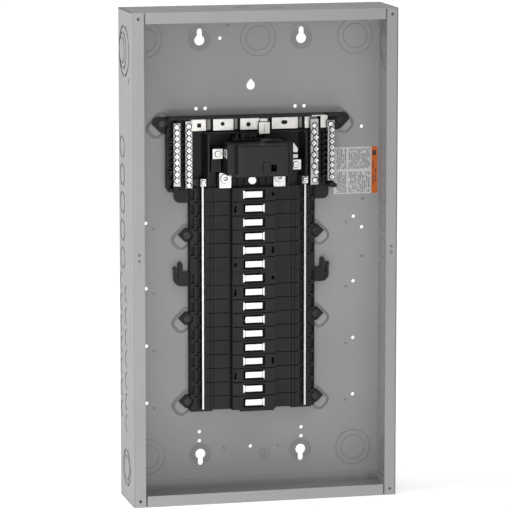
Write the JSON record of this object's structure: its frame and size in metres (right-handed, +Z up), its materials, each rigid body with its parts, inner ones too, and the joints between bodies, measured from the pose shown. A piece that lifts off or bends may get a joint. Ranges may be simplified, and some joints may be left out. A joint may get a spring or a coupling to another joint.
{
  "type": "residential load center",
  "caption": "Open wall box of grey sheet steel with a black moulded interior, plug-on stabs and neutral rails, neutral bars, main lugs and a deep mains cover.",
  "frame": {"origin": "centre of the flat back that lies against the wall", "axes": "+Z up, -Y out of the wall through the open front, +X to the right as seen from the front"},
  "size_m": [0.362, 0.0953, 0.662],
  "materials": {
    "painted_steel": "satin powder coat",
    "black_moulding": "fine texture",
    "cover_moulding": "fine texture",
    "tin_plate": "matt tin plating",
    "aluminium_bar": "extruded",
    "bus_aluminium": "tin plated",
    "screw_steel": "zinc plated",
    "end_screw_steel": "zinc plated",
    "black_screw": "black oxide",
    "lug_aluminium": "extruded, tin plated",
    "bracket_steel": "zinc plated",
    "label_paper": "matt printed"
  },
  "bodies": {
    "box": {"box_wrapper": "painted_steel", "top_end_wall": "painted_steel", "bottom_end_wall": "painted_steel", "wiring_label": "label_paper", "mains_base": "black_moulding", "branch_base_upper": "black_moulding", "branch_base_lower": "black_moulding", "bus_bar_left": "bus_aluminium", "bus_bar_right": "bus_aluminium", "neutral_rail_left": "tin_plate", "neutral_rail_right": "tin_plate", "main_lug_left": "lug_aluminium", "main_lug_right": "lug_aluminium", "line_terminal_left": "tin_plate", "line_terminal_right": "tin_plate", "neutral_strap": "tin_plate", "bonding_strap": "tin_plate", "neutral_bar_left_outer": "aluminium_bar", "neutral_bar_left_inner": "aluminium_bar", "neutral_bar_right_inner": "aluminium_bar", "neutral_bar_right_outer": "aluminium_bar", "binding_screws_left_outer": "screw_steel", "binding_screws_left_inner": "screw_steel", "binding_screws_right_outer": "screw_steel", "binding_screws_right_inner": "screw_steel", "bar_end_screws": "end_screw_steel", "bar_link_left": "tin_plate", "bar_link_right": "tin_plate", "rail_clamp_left": "tin_plate", "rail_clamp_right": "tin_plate", "rail_clamp_screws": "screw_steel", "breaker_bracket_left": "bracket_steel", "breaker_bracket_right": "bracket_steel", "centre_stud": "lug_aluminium", "interior_screws": "black_screw"},
    "cover": {"mains_cover": "cover_moulding"},
    "left_lug_screw": {"lug_screw_left": "lug_aluminium"},
    "right_lug_screw": {"lug_screw_right": "lug_aluminium"},
    "left_terminal_screw": {"terminal_screw_left": "screw_steel"},
    "right_terminal_screw": {"terminal_screw_right": "screw_steel"}
  },
  "joints": [
    {"name": "cover_pull", "type": "slide", "parent": "box", "child": "cover", "axis": [0, -1, 0], "range_m": [0, 0.08]},
    {"name": "left_lug_turn", "type": "hinge", "parent": "box", "child": "left_lug_screw", "pos_m": [-0.039, -0.022, 0.0986], "axis": [0, -1, 0], "range_deg": [0, 990]},
    {"name": "right_lug_turn", "type": "hinge", "parent": "box", "child": "right_lug_screw", "pos_m": [0.036, -0.022, 0.0986], "axis": [0, -1, 0], "range_deg": [0, 990]},
    {"name": "left_terminal_turn", "type": "hinge", "parent": "box", "child": "left_terminal_screw", "pos_m": [-0.0539, -0.04, 0.1352], "axis": [0, -1, 0], "range_deg": [0, 810]},
    {"name": "right_terminal_turn", "type": "hinge", "parent": "box", "child": "right_terminal_screw", "pos_m": [0.0539, -0.04, 0.1177], "axis": [0, -1, 0], "range_deg": [0, 810]}
  ]
}
